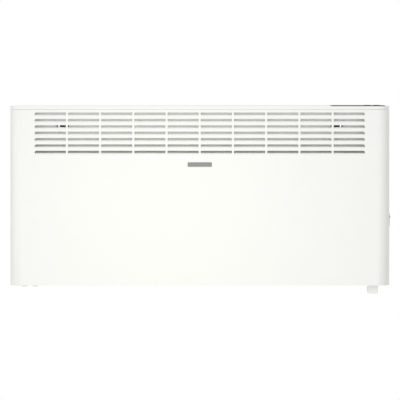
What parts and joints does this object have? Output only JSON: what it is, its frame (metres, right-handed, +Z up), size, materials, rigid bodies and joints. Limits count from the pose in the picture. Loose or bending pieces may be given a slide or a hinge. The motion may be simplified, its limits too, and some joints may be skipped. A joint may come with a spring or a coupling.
{
  "type": "panel convector heater",
  "caption": "Wall-hung electric panel convector heater with slotted warm-air outlet, top control panel, side mains switch and a tilt-off wall bracket.",
  "frame": {"origin": "on the wall plane, at the middle of the wall bracket's four screw holes", "axes": "+X to the right as seen from the room, +Y into the wall, +Z up; the front faces -Y"},
  "size_m": [0.9007, 0.1237, 0.4442],
  "materials": {
    "enamel_white": "fine-textured powder coat",
    "liner_white": "smooth heat-resistant enamel",
    "trim_white": "satin moulded plastic",
    "panel_black": "glossy tinted plastic",
    "display_glass": "polished",
    "key_black": "satin",
    "switch_black": "satin",
    "switch_grey": "satin",
    "badge_dark": "anodised",
    "galvanised": "bright spangled zinc",
    "spring_steel": "blackened",
    "zinc_screw": "zinc plated",
    "element_aluminium": "extruded, matt",
    "element_sheath": "drawn",
    "ceramic": "unglazed",
    "phenolic": "moulded",
    "brass": "plain",
    "board_green": "solder resist",
    "component_black": "moulded",
    "component_blue": "moulded",
    "capacitor_yellow": "moulded",
    "nylon_white": "moulded",
    "nylon_black": "moulded",
    "rubber_grey": "moulded",
    "lead_brown": "extruded",
    "lead_blue": "extruded",
    "lead_earth": "extruded",
    "lead_glass": "woven sleeve",
    "lead_grey": "extruded",
    "label_silver": "printed film, blank"
  },
  "bodies": {
    "wall_bracket": {"bracket_rail_left": "galvanised", "bracket_rail_right": "galvanised", "bracket_bar_upper": "galvanised", "bracket_bar_lower": "galvanised", "bracket_rivets": "zinc_screw", "catch_left": "spring_steel", "catch_right": "spring_steel"},
    "casing": {"rear_panel": "enamel_white", "end_channel_left": "enamel_white", "end_channel_right": "enamel_white", "top_channel": "enamel_white", "front_cover": "enamel_white", "top_trim": "trim_white", "bottom_grille": "enamel_white", "badge": "badge_dark", "control_panel": "panel_black", "display_module": "display_glass", "control_tray": "nylon_white", "control_board": "board_green", "key_switches": "component_black", "divider_left": "galvanised", "divider_right": "galvanised", "air_guide": "liner_white", "heater_profile": "element_aluminium", "heater_rod": "element_sheath", "element_bush_left": "ceramic", "element_bush_right": "ceramic", "thermal_cutout": "phenolic", "power_board": "board_green", "board_spacers": "nylon_white", "board_screws": "zinc_screw", "relay": "component_blue", "filter_capacitor": "capacitor_yellow", "heat_sink": "element_aluminium", "board_connector": "nylon_white", "ribbon_cable": "lead_grey", "terminal_block": "nylon_white", "cable_gland": "nylon_black", "gland_nut": "nylon_black", "switch_body": "switch_grey", "switch_blades": "brass", "sensor_cap": "trim_white", "sensor_bead": "component_black", "blanking_plugs": "nylon_white", "rating_plate": "label_silver", "wall_bumpers": "rubber_grey", "earth_stud": "brass", "live_leads": "lead_brown", "neutral_leads": "lead_blue", "earth_lead": "lead_earth", "element_leads": "lead_glass", "sensor_lead": "lead_grey", "back_screws": "zinc_screw", "floor_screws": "zinc_screw"},
    "switch_rocker": {"switch_rocker": "switch_black"},
    "key_menu": {"key_menu": "key_black"},
    "key_enter": {"key_enter": "key_black"},
    "key_minus": {"key_minus": "key_black"},
    "key_plus": {"key_plus": "key_black"}
  },
  "joints": [
    {"name": "casing_tilt", "type": "hinge", "parent": "wall_bracket", "child": "casing", "pos_m": [0, -0.0236, -0.172], "axis": [1, 0, 0], "range_deg": [0, 12], "deforming": ["catch_left", "catch_right"]},
    {"name": "rocker_tilt", "type": "hinge", "parent": "casing", "child": "switch_rocker", "pos_m": [0.4453, -0.0455, -0.0455], "axis": [0, 1, 0], "range_deg": [-18, 0]},
    {"name": "key_menu_press", "type": "slide", "parent": "casing", "child": "key_menu", "axis": [0, 0, -1], "range_m": [0, 0.0008], "stiffness_N_per_m": 400},
    {"name": "key_enter_press", "type": "slide", "parent": "casing", "child": "key_enter", "axis": [0, 0, -1], "range_m": [0, 0.0008], "stiffness_N_per_m": 400},
    {"name": "key_minus_press", "type": "slide", "parent": "casing", "child": "key_minus", "axis": [0, 0, -1], "range_m": [0, 0.0008], "stiffness_N_per_m": 400},
    {"name": "key_plus_press", "type": "slide", "parent": "casing", "child": "key_plus", "axis": [0, 0, -1], "range_m": [0, 0.0008], "stiffness_N_per_m": 400}
  ]
}
